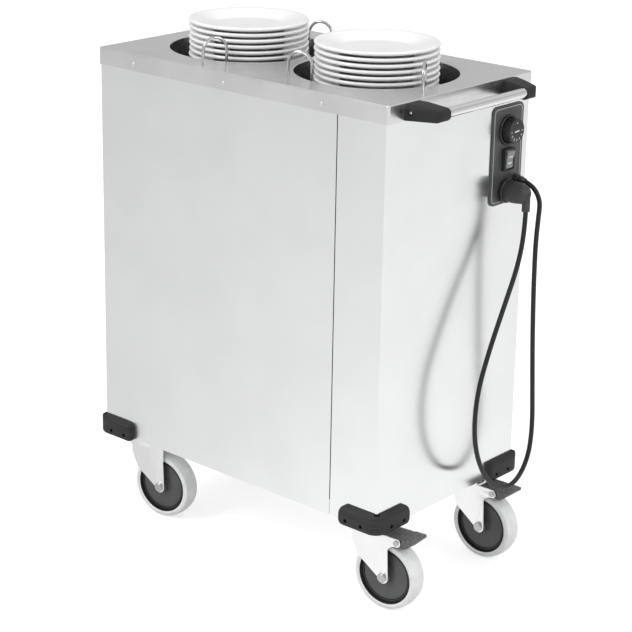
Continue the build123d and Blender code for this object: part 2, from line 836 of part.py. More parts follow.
def thermostat():
    """The temperature control behind the end cover, with the bushing that the spindle turns in."""
    depth_mid = inner_x - thermostat_depth / 2
    case = Pos(depth_mid, panel_y, knob_z) * Box(thermostat_depth, thermostat_size, thermostat_size)
    case += rod_x(bushing_radius, inner_x - overlap, plate_face, panel_y, knob_z)
    bore = spindle_radius + spindle_play
    return case - rod_x(bore, depth_mid - lap_gap, plate_face + overlap, panel_y, knob_z)


def switch_frame():
    """The switch's housing, which clips through the plate and frames its rocker."""
    outer = Pos(0, 0, switch_stand / 2) * Box(switch_width, switch_height, switch_stand)
    outer = chamfer(outer.faces().sort_by(Axis.Z)[-1].edges(), edge_break)
    outer += Pos(0, 0, -switch_depth / 2) * Box(switch_cut_width, switch_cut_height, switch_depth)
    room = 2 * (rocker_radius + rocker_play)
    mouth = Pos(0, 0, switch_stand) * Box(rocker_width + 2 * rocker_play, room, 2 * switch_stand)
    bowl = Rot(0, 90, 0) * Cylinder(rocker_radius + rocker_play, rocker_width + 2 * rocker_play)
    return facing(plate_face, panel_y, switch_z) * (outer - mouth - bowl)


def rocker():
    """The rocker: a drum about its own pivot, faced by two planes that meet in a shallow valley."""
    drum = Rot(0, 90, 0) * Cylinder(rocker_radius, rocker_width)
    wide = 2 * rocker_radius
    face = make_face(Polyline((-wide, -rocker_face), (wide, -rocker_face), (wide, rocker_horn),
                              (0, rocker_valley), (-wide, rocker_horn), close=True))
    block = extrude(Plane.YZ * face, rocker_width, both=True)
    return facing(plate_face, panel_y, switch_z) * Rot(rocker_rest_tilt, 0, 0) * (drum & block)


# ---- mains cord ----

def parking_socket():
    """The dead socket on the plate that holds the plug while the cart isn't in use."""
    cup = Pos(0, 0, socket_stand / 2) * Cylinder(socket_radius, socket_stand)
    cup = chamfer(cup.edges().sort_by(Axis.Z)[-1], edge_break)
    cup += Pos(0, 0, -socket_depth / 2) * Cylinder(socket_barrel, socket_depth)
    cup -= Pos(0, 0, socket_stand) * Cylinder(plug_radius + plug_play, 2 * socket_recess)
    for side in (-0.5, 0.5):
        cup -= Pos(side * pin_pitch, 0, 0) * Cylinder(pin_radius + plug_play, 2 * pin_length)
    return facing(plate_face, socket_y, socket_z) * cup


def power_plug():
    """The angled plug: a round front that swells into a dome, and a neck for the cord straight below it."""
    front = socket_stand - socket_recess + plug_play
    half = make_face(Polyline((0, front), (plug_radius, front), (plug_radius, front + plug_straight),
                              (plug_radius - plug_draft, plug_reach), (0, plug_reach), close=True))
    half = fillet(half.vertices().sort_by(lambda v: v.X + v.Y)[-1], plug_crown)
    body = revolve(Plane.XZ * half, axis=Axis.Z)
    for side in (-0.5, 0.5):
        pin = Cylinder(pin_radius, pin_length + overlap)
        body += Pos(side * pin_pitch, 0, front - (pin_length - overlap) / 2) * pin
    plug = facing(plate_face, socket_y, socket_z) * body
    return plug + post(plug_neck_radius, plug_neck_x, socket_y, plug_neck_z, socket_z)


def cord_gland():
    """The nut and thread that clamp the cord, with a tapered sleeve that bends the way the cord hangs."""
    start = plate_face + gland_nut
    nut = facing(plate_face, gland_y, gland_z) * extrude(RegularPolygon(gland_radius, 6), gland_nut)
    gland = nut + rod_x(gland_thread, inner_x - gland_nut, plate_face + overlap, gland_y, gland_z)
    rings = []
    for k in range(4):
        turn = sleeve_turn * k / 3
        x = start + sleeve_bend * math.sin(math.radians(turn))
        z = gland_z - sleeve_bend * (1 - math.cos(math.radians(turn)))
        out = (math.cos(math.radians(turn)), 0, -math.sin(math.radians(turn)))
        radius = sleeve_root + (sleeve_tip - sleeve_root) * k / 3
        rings.append(Plane(origin=(x, gland_y, z), x_dir=(0, 1, 0), z_dir=out) * Circle(radius))
    return gland + loft(rings, ruled=True)


def cord_radii():
    """Each bend as large as its two runs allow."""
    points = [Vector(*p) for p in cord_route]
    radii = []
    for a, b, c in zip(points, points[1:], points[2:]):
        turn = (b - a).get_angle(c - b)
        shorter = min((b - a).length, (c - b).length)
        radii.append(bend_share * shorter / math.tan(math.radians(turn) / 2))
    return radii


def power_cord():
    path = FilletPolyline(*cord_route, radius=cord_radii())
    start = Plane(origin=path @ 0, z_dir=path % 0)
    tube = sweep(start * Circle(cord_diameter / 2), path=path)
    print("cord length", round(path.length, 1), "volume", round(tube.volume),
          "section times length", round(path.length * math.pi * cord_diameter ** 2 / 4))
    print("cord radii", [round(r) for r in cord_radii()])
    return tube


# ---- casters ----

def caster_place(name):
    x, y, _ = casters[name]
    return Pos(x, y, 0) * Rot(0, 0, swivel_rest[name])


def caster_plates():
    """The four mounting plates, each with its dished boss and the rivet that the fork turns on."""
    top = caster_height
    boss_low = fork_top + swivel_gap
    flange_top = fork_top - head_gauge - swivel_gap
    plates = []
    for name, (x, y, _) in casters.items():
        plate_solid = box(-plate_length / 2, plate_length / 2, -plate_width / 2, plate_width / 2,
                          top - caster_plate, top)
        plate_solid = fillet(plate_solid.edges().filter_by(Axis.Z), 2 * caster_plate)
        for ux in (-0.5, 0.5):
            for uy in (-0.5, 0.5):
                plate_solid -= post(bolt_radius + bolt_play, ux * bolt_pitch_x, uy * bolt_pitch_y,
                                    top - 2 * caster_plate, top + overlap)
        plate_solid += Pos(0, 0, boss_low + plate_boss_height / 2) * Cone(
            plate_boss, plate_boss + caster_plate, plate_boss_height)
        plate_solid += post(kingpin_radius, 0, 0, flange_top - kingpin_flange_height, boss_low + overlap)
        plate_solid += post(kingpin_flange, 0, 0, flange_top - kingpin_flange_height, flange_top)
        plates.append(Pos(x, y, 0) * plate_solid)
    return group(plates)


def caster_bolts():
    bolts = []
    low = caster_height - caster_plate
    for x, y in bolt_places():
        hexagon = extrude(RegularPolygon(bolt_head, 6), bolt_head_height)
        head = Pos(x, y, low - bolt_head_height) * hexagon
        nut = Pos(x, y, tray_top) * hexagon
        shank = post(bolt_radius, x, y, low - overlap, tray_top + bolt_head_height + overlap)
        bolts.append(head + nut + shank)
    return group(bolts)


def crown_end(braked):
    """How far back the crown reaches: a braked fork's stops short of the pedal's toe plate."""
    return arm_pivot_x - pedal_back - pedal_gap if braked else wheel_trail + fork_back


def fork_side(braked):
    """The outline of one cheek of the fork, seen from the side, round the axle at its low end."""
    top = fork_top - head_gauge / 2
    front = wheel_trail - fork_boss
    back = wheel_trail + fork_boss
    root = wheel_trail + fork_back
    rear = [(root, top)]
    if braked:
        rear = [(crown_end(braked), top), (crown_end(braked), arm_pivot_z), (root, arm_pivot_z)]
    with BuildSketch() as outline:
        with BuildLine():
            Polyline((front, wheel_radius), (-fork_waist, wheel_radius + fork_waist_rise),
                     (-fork_front, top - fork_shoulder_drop), (-fork_front, top), *rear,
                     (back, wheel_radius))
            ThreePointArc((back, wheel_radius), (wheel_trail, wheel_radius - fork_boss),
                          (front, wheel_radius))
        make_face()
        if braked:
            low = arm_pivot_z - arm_round
            high = arm_pivot_z + arm_round
            with BuildLine():
                RadiusArc((root, low - arm_throat), (arm_pivot_x, low), arm_pivot_x - root)
                ThreePointArc((arm_pivot_x, low), (arm_pivot_x + arm_round, arm_pivot_z),
                              (arm_pivot_x, high))
                Polyline((arm_pivot_x, high), (crown_end(braked), high),
                         (crown_end(braked), low - arm_throat), (root, low - arm_throat))
            make_face()
    return outline.sketch


def caster_fork(name):
    """The pressed fork: a round head on the kingpin, a crown and two cheeks, with arms for a brake pedal."""
    braked = casters[name][2]
    low = fork_top - head_gauge
    fork = post(fork_head, 0, 0, low - head_skirt, fork_top)
    fork -= post(fork_head - side_gauge, 0, 0, low - head_skirt - overlap, low)
    outer = fork_gap + side_gauge
    fork += box(kingpin_flange + fork_flange, crown_end(braked), -outer, outer, low, fork_top)
    cheek = extrude(Plane.XZ * fork_side(braked), side_gauge)
    fork += Pos(0, -fork_gap, 0) * cheek
    fork += Pos(0, outer, 0) * cheek
    wide = 2 * fork_gap
    fork -= post(kingpin_radius + axle_play, 0, 0, low - overlap, fork_top + overlap)
    fork -= rod_y(axle_radius + axle_play, -wide, wide, wheel_trail, wheel_radius)
    if braked:
        fork -= rod_y(pedal_pin_radius + pedal_play, -wide, wide, arm_pivot_x, arm_pivot_z)
    return caster_place(name) * fork


def at_axle(name):
    return caster_place(name) * Pos(wheel_trail, 0, wheel_radius) * Rot(90, 0, 0)


def wheel_core(name):
    """The moulded wheel centre: a hub, a flat disc and a raised rim, turned about the axle."""
    bore = axle_radius + axle_play
    half = [(bore, 0), (bore, fork_gap - hub_gap),
            (hub_radius, fork_gap - hub_gap), (hub_radius, core_face), (core_groove, core_face),
            (core_groove, core_face - groove_depth), (core_groove + groove_width, core_face - groove_depth),
            (core_groove + groove_width, core_half_width), (core_radius, core_half_width), (core_radius, 0)]
    section = make_face(Polyline(*half, close=True))
    section += mirror(section, about=Plane.XZ)
    return at_axle(name) * revolve(Plane.XZ * section, axis=Axis.Z)


def wheel_tyre(name):
    """The soft tyre on the rim, with square shoulders and a crowned tread."""
    shoulder = wheel_radius - tyre_crown
    tread_half = tyre_half_width - tyre_shoulder
    flank = core_radius + tyre_flank
    with BuildSketch(Plane.XZ) as section:
        with BuildLine():
            Polyline((shoulder, tread_half), (flank, tyre_half_width), (core_radius, core_half_width),
                     (core_radius, -core_half_width), (flank, -tyre_half_width), (shoulder, -tread_half))
            ThreePointArc((shoulder, -tread_half), (wheel_radius, 0), (shoulder, tread_half))
        make_face()
    return at_axle(name) * revolve(section.sketch, axis=Axis.Z)


def wheel_axle(name):
    """The axle bolt, its head and its nut against the fork's cheeks."""
    outer = fork_gap + side_gauge
    bolt = Cylinder(axle_radius, 2 * outer)
    for side in (-1, 1):
        knob_end = Pos(0, 0, side * (outer + axle_head_height / 2)) * Cylinder(axle_head, axle_head_height)
        bolt += chamfer(knob_end.edges().sort_by(Axis.Z)[-1 if side > 0 else 0], edge_break)
    return at_axle(name) * bolt


def brake_pedal(name):
    """The toe plate of the brake, with two lugs on its pin and a shoe over the tyre."""
    low = arm_pivot_z + pedal_rise
    top = low + pedal_gauge
    back = arm_pivot_x - pedal_back
    tread = box(back, arm_pivot_x + pedal_reach, -pedal_half_width, pedal_half_width, low, top)
    tread = fillet(tread.edges().filter_by(Axis.Z).sort_by(Axis.X)[-2:], pedal_corner)
    pitch = (pedal_back + pedal_reach - 2 * rib_inset) / (pedal_ribs - 1)
    for k in range(pedal_ribs):
        x = back + rib_inset + k * pitch
        tread += box(x - rib_width / 2, x + rib_width / 2, rib_inset - pedal_half_width,
                     pedal_half_width - rib_inset, top - overlap, top + rib_height)
    shoe_x = arm_pivot_x + shoe_out
    shoe = box(shoe_x, shoe_x + shoe_length, -shoe_half_width, shoe_half_width,
               low - shoe_drop, low + overlap)
    tread += fillet(shoe.edges().filter_by(Axis.Y).sort_by(Axis.Z)[:2], shoe_edge)
    inner = fork_gap - hub_gap
    for side in (-1, 1):
        y0, y1 = sorted((side * (inner - pedal_lug), side * inner))
        lug = rod_y(arm_round, y0, y1, arm_pivot_x, arm_pivot_z)
        lug += box(arm_pivot_x - arm_round, arm_pivot_x + arm_round, y0, y1, arm_pivot_z, low + overlap)
        tread += lug
    tread -= rod_y(pedal_pin_radius + pedal_play, -2 * inner, 2 * inner, arm_pivot_x, arm_pivot_z)
    return caster_place(name) * tread


def pedal_pin(name):
    """The rivet through the fork's arms that the pedal tips on."""
    outer = fork_gap + side_gauge
    pin = rod_y(pedal_pin_radius, -outer, outer, arm_pivot_x, arm_pivot_z)
    for side in (-1, 1):
        y0, y1 = sorted((side * outer, side * (outer + pedal_pin_head_height)))
        pin += rod_y(pedal_pin_head, y0, y1, arm_pivot_x, arm_pivot_z)
    return caster_place(name) * pin


# ---- all nodes ----

def build():
    os.makedirs("parts", exist_ok=True)
    save("top_pan", top_pan())
    save("skirt_rivets", rivets())
    save("body_shell", body_shell())
    save("end_cover", end_cover())
    save("base_tray", base_tray())
    save("guide_bushes", guide_bushes())
    save("heaters", heaters())
    save("heater_clips", heater_clips())
    for side in wells:
        save("well_" + side, well(side))
        save("lift_springs_" + side, lift_springs(side))
        save("platform_" + side, platform(side))
        save("plates_" + side, plate_stack(side))
        for k, (x, y, angle) in enumerate(guide_pivots(side)):
            save(f"plate_guide_{side}_{k + 1}", plate_guide(x, y, angle))
    save("bumpers", group(at_corners(bumper())))
    save("bumper_screws", bumper_screws())
    save("handle_grip", handle_grip())
    save("handle_bracket_far", handle_bracket())
    save("handle_bracket_near", mirror(handle_bracket(), about=Plane.XZ))
    save("control_plate", control_plate())
    save("knob_bezel", knob_bezel())
    save("temperature_knob", knob())
    save("thermostat_spindle", thermostat_spindle())
    save("thermostat", thermostat())
    save("switch_frame", switch_frame())
    save("switch_rocker", rocker())
    save("parking_socket", parking_socket())
    save("cord_gland", cord_gland())
    save("power_cord", power_cord())
    save("power_plug", power_plug())
    save("caster_plates", caster_plates())
    save("caster_bolts", caster_bolts())
    for name, (_, _, braked) in casters.items():
        save("fork_" + name, caster_fork(name))
        save("wheel_" + name, wheel_core(name))
        save("tyre_" + name, wheel_tyre(name))
        save("axle_" + name, wheel_axle(name))
        if braked:
            save("brake_pedal_" + name, brake_pedal(name))
            save("pedal_pin_" + name, pedal_pin(name))


build()
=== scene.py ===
import json
import math
import bmesh
import bpy
from mathutils import Matrix, Vector


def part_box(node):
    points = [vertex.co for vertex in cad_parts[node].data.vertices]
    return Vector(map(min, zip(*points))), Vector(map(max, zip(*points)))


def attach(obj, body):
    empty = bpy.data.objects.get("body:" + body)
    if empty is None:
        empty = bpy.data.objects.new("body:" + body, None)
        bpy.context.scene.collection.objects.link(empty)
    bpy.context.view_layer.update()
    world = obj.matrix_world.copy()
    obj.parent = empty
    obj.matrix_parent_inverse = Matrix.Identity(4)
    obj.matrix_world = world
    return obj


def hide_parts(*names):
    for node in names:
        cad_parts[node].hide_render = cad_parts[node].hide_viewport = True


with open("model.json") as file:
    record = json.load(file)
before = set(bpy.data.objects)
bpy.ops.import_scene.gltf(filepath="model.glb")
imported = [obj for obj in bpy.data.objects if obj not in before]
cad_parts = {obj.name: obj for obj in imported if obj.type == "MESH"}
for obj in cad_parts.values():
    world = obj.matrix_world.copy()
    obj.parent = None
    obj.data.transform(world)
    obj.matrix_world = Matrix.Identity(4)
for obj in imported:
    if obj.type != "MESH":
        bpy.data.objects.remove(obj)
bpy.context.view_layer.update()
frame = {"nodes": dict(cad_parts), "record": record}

# ---- camera and studio ----
# The cart stands on a plain white floor in a plain white room, under three soft square lamps. It is seen
# from a little above its handle end, through a long lens.
# The cabinet's own centre lies this far behind the origin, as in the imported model.
cabinet_x = -0.02285
camera_place = (2.2038 + cabinet_x, -2.5196, 1.5834)
camera_azimuth, camera_elevation, camera_roll = (math.radians(turn) for turn in (41.413, 17.55, 0.877))
focal_length, film_width, film_shift = 110.33, 36, (0.0253, -0.0854)


def add_object(name, data):
    """A new object in the scene that shows this mesh, curve, lamp or camera."""
    made = bpy.data.objects.new(name, data)
    bpy.context.scene.collection.objects.link(made)
    return made


def placing(x_way, y_way, z_way, origin=(0, 0, 0)):
    """The matrix that turns own X, Y and Z to these ways, and moves the middle to the origin given."""
    return Matrix((*zip(x_way, y_way, z_way, origin), (0, 0, 0, 1)))


away = Vector((math.sin(camera_azimuth) * math.cos(camera_elevation),
               -math.cos(camera_azimuth) * math.cos(camera_elevation), math.sin(camera_elevation)))
level = Vector((math.cos(camera_azimuth), math.sin(camera_azimuth), 0))
upright = away.cross(level)
across = math.cos(camera_roll) * level + math.sin(camera_roll) * upright
upwards = math.cos(camera_roll) * upright - math.sin(camera_roll) * level
camera_lens = bpy.data.cameras.new("camera")
camera_lens.lens, camera_lens.sensor_width = focal_length, film_width
camera_lens.shift_x, camera_lens.shift_y = film_shift
camera_lens.clip_end = 100
camera = add_object("camera", camera_lens)
camera.matrix_world = placing(across, upwards, away, camera_place)
bpy.context.scene.camera = camera
bpy.context.scene.view_settings.view_transform = "Standard"


def grey(value):
    """An opaque grey, as a colour."""
    return (value, value, value, 1)


def feed(tree, target, sockets):
    """Gives a node's inputs, by name or number, a plain value or a wire from another node's output."""
    for label, source in sockets.items():
        if isinstance(source, bpy.types.NodeSocket):
            tree.links.new(source, target.inputs[label])
        else:
            target.inputs[label].default_value = source


def node(tree, kind, sockets=None, **settings):
    """Adds a shader node with its properties set and its inputs fed."""
    made = tree.nodes.new("ShaderNode" + kind)
    for label, value in settings.items():
        setattr(made, label, value)
    feed(tree, made, sockets or {})
    return made


def new_material(name):
    """A material with its node tree and the Principled BSDF that it starts with."""
    material = bpy.data.materials.new(name)
    material.use_nodes = True
    tree = material.node_tree
    return material, tree, tree.nodes["Principled BSDF"]


def colour_ramp(tree, factor, *stops):
    """The colour that a factor picks from grey or coloured stops, each a (place, value)."""
    ramp = node(tree, "ValToRGB", {"Fac": factor})
    elements = ramp.color_ramp.elements
    while len(elements) < len(stops):
        elements.new(0.5)
    for element, (place, value) in zip(elements, stops):
        element.position = place
        element.color = value if isinstance(value, tuple) else grey(value)
    return ramp.outputs["Color"]


# A large pale floor. It shows white to the camera and takes a soft shadow. What the steel mirrors of it is
# a painted glow, no lamp: a pool of light brightest towards the front right, which fades with the distance
# from the cart. From below it is clear.
floor_reach, floor_colour, floor_glow, mirrored_fade = 30, 0.62, 0.62, 0.038
brightest_way = (0.94, -0.342, 0)
# As (place, brightness), where place runs from 0 opposite the brightest way to 1 along it.
floor_shades = ((0.24, 0.77), (0.57, 0.97), (0.84, 1.0))
floor_mesh = bpy.data.meshes.new("floor")
floor_corners = [(x * floor_reach, y * floor_reach, 0) for x, y in ((-1, -1), (1, -1), (1, 1), (-1, 1))]
floor_mesh.from_pydata(floor_corners, [], [(0, 1, 2, 3)])
floor = add_object("floor", floor_mesh)
floor_white, tree, plain_shader = new_material("floor_white")
tree.nodes.remove(plain_shader)
rays = node(tree, "LightPath")
glow = node(tree, "Math", {0: rays.outputs["Is Camera Ray"], 1: floor_glow}, operation="MULTIPLY")
lit_up = node(tree, "Emission", {"Strength": glow.outputs[0]})
chalk = node(tree, "BsdfDiffuse", {"Color": grey(floor_colour)})
seen = node(tree, "AddShader", {0: lit_up.outputs[0], 1: chalk.outputs[0]})
place = node(tree, "TexCoord").outputs["Object"]
outwards = node(tree, "VectorMath", {0: place}, operation="NORMALIZE")
facing = node(tree, "VectorMath", {0: outwards.outputs["Vector"], 1: brightest_way}, operation="DOT_PRODUCT")
share = node(tree, "Math", {0: facing.outputs["Value"], 1: 0.5, 2: 0.5}, operation="MULTIPLY_ADD")
far = node(tree, "VectorMath", {0: place}, operation="LENGTH")
fade = node(tree, "Math", {0: far.outputs["Value"], 1: -mirrored_fade, 2: 1.0}, operation="MULTIPLY_ADD")
# The painted pool of light, which only reflections see.
mirrored = node(tree, "Emission", {"Color": colour_ramp(tree, share.outputs[0], *floor_shades),
                                   "Strength": fade.outputs[0]})
from_above = node(tree, "MixShader", {0: rays.outputs["Is Glossy Ray"], 1: seen.outputs[0],
                                      2: mirrored.outputs[0]})
side_seen = node(tree, "NewGeometry")
clear = node(tree, "BsdfTransparent")
one_sided = node(tree, "MixShader", {0: side_seen.outputs["Backfacing"], 1: from_above.outputs[0],
                                     2: clear.outputs[0]})
feed(tree, tree.nodes["Material Output"], {"Surface": one_sided.outputs[0]})
floor_mesh.materials.append(floor_white)

# The room is plain. Seen directly it is white; what lights the cart, and what the steel mirrors, is a
# little darker above than at the horizon.
room_light = 0.80
# What the steel mirrors, from the horizon up, as (height, brightness).
room_shades = ((0.0, 0.95), (0.12, 0.62), (0.32, 0.42), (0.75, 0.75))
world = bpy.data.worlds.new("room")
bpy.context.scene.world = world
world.use_nodes = True
tree = world.node_tree
direction = node(tree, "TexCoord").outputs["Generated"]
height = node(tree, "SeparateXYZ", {0: direction}).outputs["Z"]
rays = node(tree, "LightPath")
mirrored = colour_ramp(tree, height, *room_shades)
lit = node(tree, "MixRGB", {0: rays.outputs["Is Glossy Ray"], 1: grey(room_light), 2: mirrored})
shown = node(tree, "MixRGB", {0: rays.outputs["Is Camera Ray"], 1: lit.outputs[0], 2: grey(1)})
feed(tree, tree.nodes["Background"], {"Color": shown.outputs[0], "Strength": 1.0})


def soft_light(name, place, target, size, watts):
    """A square area lamp at one point, aimed at another."""
    lamp = bpy.data.lights.new(name, "AREA")
    lamp.size, lamp.energy = size, watts
    made = add_object(name, lamp)
    made.location = place
    made.rotation_euler = (Vector(target) - Vector(place)).to_track_quat("-Z", "Y").to_euler()
    return made


soft_light("key_light", place=(-1.2, -3.2, 3.2), target=(0, 0, 0.5), size=1.8, watts=62)
soft_light("end_light", place=(3.4, 0.6, 2.2), target=(0, 0, 0.5), size=1.6, watts=25)
overhead = soft_light("top_light", place=(0.2, 0.6, 3.6), target=(0, 0, 0.8), size=1.6, watts=10)
overhead.visible_glossy = False

# ---- stainless cabinet ----
# Folded sheet steel with an upright brushed grain: the body shell, the cover that wraps the handle end,
# and the tray underneath. The grain is thousands of fine scratches, so reflections blur across it.
nodes = frame["nodes"]


def new_group(name, inputs, outputs):
    """A shader node group with its sockets: inputs as (label, kind, default), outputs by label alone."""
    group = bpy.data.node_groups.new(name, "ShaderNodeTree")
    for label, kind, default in inputs:
        socket = group.interface.new_socket(name=label, in_out="INPUT", socket_type="NodeSocket" + kind)
        socket.default_value = default
    for label in outputs:
        group.interface.new_socket(name=label, in_out="OUTPUT", socket_type="NodeSocketFloat")
    return group, group.nodes.new("NodeGroupInput"), group.nodes.new("NodeGroupOutput")


def noise(tree, place, scale, detail):
    """The value of a noise pattern at a place."""
    return node(tree, "TexNoise", {"Vector": place, "Scale": scale, "Detail": detail}).outputs["Fac"]


def stretched(tree, place, stretch):
    """A place with each of X, Y and Z multiplied by its own part of the stretch."""
    return node(tree, "VectorMath", {0: place, 1: stretch}, operation="MULTIPLY").outputs[0]


def brushed_lines():
    """A group for brushed sheet: fine scratches along one way, broad bands along it, and round clouds."""
    band_scale, cloud_scale = 0.02, 9.0
    group, given, result = new_group("brushed_lines", [("Stretch", "Vector", (700, 700, 6))],
                                     ["Scratches", "Bands", "Clouds"])
    place = node(group, "TexCoord").outputs["Object"]
    drawn = stretched(group, place, given.outputs["Stretch"])
    wide = node(group, "VectorMath", {0: drawn, "Scale": band_scale}, operation="SCALE").outputs[0]
    feed(group, result, {"Scratches": noise(group, drawn, 1.0, 4.0), "Bands": noise(group, wide, 1.0, 2.0),
                         "Clouds": noise(group, place, cloud_scale, 3.0)})
    return group


brushed = brushed_lines()


def shades(colour, spread):
    """The darker and the lighter shade of a colour, as the two stops of a ramp across a noise pattern."""
    dark = (*(part * (1 - spread) for part in colour), 1)
    light = (*(min(1, part * (1 + spread)) for part in colour), 1)
    return (0.3, dark), (0.7, light)


def add_relief(tree, skin, height, strength, depth):
    """Raises the surface by a value, to a depth in metres."""
    bump = node(tree, "Bump", {"Strength": strength, "Distance": depth, "Height": height})
    feed(tree, skin, {"Normal": bump.outputs["Normal"]})


def steel(name, colour, roughness, stretch, relief=0.05, depth=0.0001, streak=0.05, smear=0.0, around="Z",
          clouds=0.0):
    """Bare metal with brushed lines; stretch is how fast the lines change along X, Y and Z.

    streak is how far the lines stray in brightness, and they stray four times as far in roughness. clouds
    is how much darker the soft patches are. smear is how much wider reflections spread across the lines
    than along them, round the named axis.
    """
    material, tree, skin = new_material(name)
    lines = node(tree, "Group", {"Stretch": stretch}, node_tree=brushed)
    fine = colour_ramp(tree, lines.outputs["Scratches"], *shades(colour, streak))
    broad = colour_ramp(tree, lines.outputs["Bands"], *shades(colour, streak))
    tint = node(tree, "MixRGB", {0: 0.5, 1: fine, 2: broad})
    patches = colour_ramp(tree, lines.outputs["Clouds"], (0.36, 1 - clouds), (0.62, 1.0))
    clouded = node(tree, "MixRGB", {0: 1.0, 1: tint.outputs[0], 2: patches}, blend_type="MULTIPLY")
    uneven = 4 * streak
    dull = colour_ramp(tree, lines.outputs["Scratches"], (0.25, roughness * (1 - uneven)),
                       (0.75, roughness * (1 + uneven)))
    feed(tree, skin, {"Base Color": clouded.outputs[0], "Roughness": dull, "Metallic": 1.0})
    add_relief(tree, skin, lines.outputs["Scratches"], relief, depth)
    if smear:
        spread = node(tree, "Tangent", direction_type="RADIAL", axis=around)
        feed(tree, skin, {"Anisotropic": smear, "Tangent": spread.outputs["Tangent"]})
    return material


def finish(name, material):
    """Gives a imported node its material, in place of the plain one it came with."""
    mesh = nodes[name].data
    mesh.materials.clear()
    mesh.materials.append(material)


upright_steel = steel("upright_brushed_steel", (0.955, 0.96, 0.965), 0.24, (500, 500, 7), relief=0.0,
                      streak=0.008, smear=0.85, clouds=0.03)
cover_steel = steel("cover_brushed_steel", (0.955, 0.96, 0.965), 0.17, (500, 500, 7), relief=0.0,
                    streak=0.008, smear=0.72, clouds=0.03)
finish("body_shell", upright_steel)
finish("end_cover", cover_steel)
finish("base_tray", upright_steel)

# ---- top pan ----
# The deep-drawn steel top with its skirt, brushed along its length, with a flanged hole over each well.
# Small domed rivets through the skirt hold it on the cabinet.
top_steel = steel("lengthways_brushed_steel", (0.87, 0.87, 0.875), 0.22, (7, 700, 700), relief=0.02,
                  streak=0.03, smear=0.6, around="X", clouds=0.09)
finish("top_pan", top_steel)
bright_steel = steel("bright_steel", (0.85, 0.85, 0.86), 0.22, (300, 300, 300), relief=0.02)
finish("skirt_rivets", bright_steel)

# ---- wells, heaters and springs ----
# Two steel tubes hang under the holes. In each are a sheathed heating element on clips, and a platform
# that three tension springs outside the tube pull up as plates are taken away.
well_steel = steel("well_steel", (0.42, 0.42, 0.43), 0.38, (200, 200, 30))
spring_steel = steel("spring_steel", (0.35, 0.35, 0.36), 0.3, (40, 40, 900))
for side in ("left", "right"):
    finish("well_" + side, well_steel)
    finish("platform_" + side, well_steel)
    finish("lift_springs_" + side, spring_steel)
finish("heaters", steel("heater_sheath", (0.12, 0.11, 0.10), 0.5, (200, 200, 200)))
finish("heater_clips", bright_steel)

# ---- plates ----
# Round white plates with a broad rolled rim, a sunk middle and a foot ring, pressed from clay and glazed.
# They lie loose on the platforms, eight in each stack, a little out of line with each other.
plate_count, plate_pitch, plate_radius, plate_sides = 8, 0.0104, 0.108, 96
rim_height, rim_thickness = 0.0189, 0.0062
# Each plate is this far off the stack's axis, the next one a turn further round.
plate_stray, stray_step, stray_skew, left_stack_start = 0.0006, 2.4, 1.7, 0.7


def moulded_surface():
    """A group for moulded and glazed surfaces: a fine relief, and broad patches that vary the finish."""
    group, given, result = new_group(
        "moulded_surface", [("Grain size", "Float", 900.0), ("Patch size", "Float", 18.0),
                            ("Stretch", "Vector", (1, 1, 1))], ["Grain", "Patches"])
    drawn = stretched(group, node(group, "TexCoord").outputs["Object"], given.outputs["Stretch"])
    feed(group, result, {"Grain": noise(group, drawn, given.outputs["Grain size"], 3.0),
                         "Patches": noise(group, drawn, given.outputs["Patch size"], 2.0)})
    return group


moulded = moulded_surface()
glaze, tree, skin = new_material("white_glaze")
surface = node(tree, "Group", {"Grain size": 120}, node_tree=moulded)
feed(tree, skin, {
    "Base Color": colour_ramp(tree, surface.outputs["Patches"], (0.3, (0.935, 0.935, 0.93, 1)),
                              (0.7, (0.95, 0.95, 0.945, 1))),
    "Roughness": colour_ramp(tree, surface.outputs["Patches"], (0.3, 0.10), (0.7, 0.18)),
    "Coat Weight": 0.6, "Coat Roughness": 0.05})
add_relief(tree, skin, surface.outputs["Grain"], strength=0.04, depth=0.0005)


def add_piece(name, shape, material, place=Matrix()):
    """Closes a bmesh, faces outwards, into a new piece at its place."""
    bmesh.ops.recalc_face_normals(shape, faces=shape.faces)
    mesh = bpy.data.meshes.new(name)
    shape.to_mesh(mesh)
    shape.free()
    mesh.transform(place)
    mesh.materials.append(material)
    return add_object(name, mesh)


def turned(name, profile, sides, material, place=Matrix()):
    """A closed form turned about its own Z from (radius, height) points, with smooth faces."""
    shape = bmesh.new()
    rings = []
    for radius, height in profile:
        turns = [2 * math.pi * k / sides for k in range(sides)] if radius > 0 else [0]
        rings.append([shape.verts.new((radius * math.cos(turn), radius * math.sin(turn), height))
                      for turn in turns])
    for lower, upper in zip(rings, rings[1:] + rings[:1]):
        for k in range(sides):
            after = (k + 1) % sides
            corners = [lower[k % len(lower)], lower[after % len(lower)],
                       upper[after % len(upper)], upper[k % len(upper)]]
            corners = list(dict.fromkeys(corners))
            if len(corners) > 2:
                shape.faces.new(corners)
    piece = add_piece(name, shape, material, place)
    piece.data.polygons.foreach_set("use_smooth", [True] * len(piece.data.polygons))
    return piece


def rounded_rim(radius, height, thickness, steps=6):
    """The half-round edge of a rim, from its top to its underside."""
    middle = radius - thickness / 2
    return [(middle + thickness / 2 * math.cos(a), height + thickness / 2 * math.sin(a))
            for a in (math.pi / 2 - math.pi * k / steps for k in range(steps + 1))]


